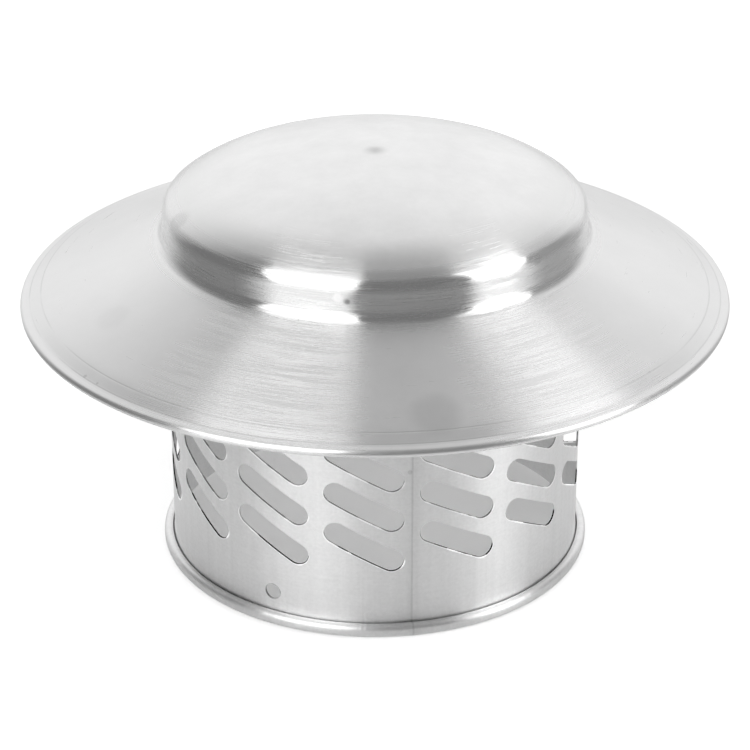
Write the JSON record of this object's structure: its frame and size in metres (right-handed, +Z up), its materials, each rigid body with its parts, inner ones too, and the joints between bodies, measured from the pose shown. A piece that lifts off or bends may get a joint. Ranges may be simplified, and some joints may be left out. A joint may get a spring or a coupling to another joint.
{
  "type": "chimney cap",
  "caption": "Chimney cap with a slotted round tube, a rolled foot and a wide spun rain hat welded over its top.",
  "frame": {"origin": "centre of the rolled foot, on the surface that the cap stands on", "axes": "+Z up along the tube's axis; -Y is the side that the picture shows, and +X is its right"},
  "size_m": [0.254, 0.254, 0.1525],
  "materials": {
    "tube_sheet": "bright rolled sheet",
    "hat_sheet": "spun, with fine turning marks round the axis"
  },
  "bodies": {
    "root": {"slotted_tube": "tube_sheet", "rain_hat": "hat_sheet"}
  },
  "joints": []
}
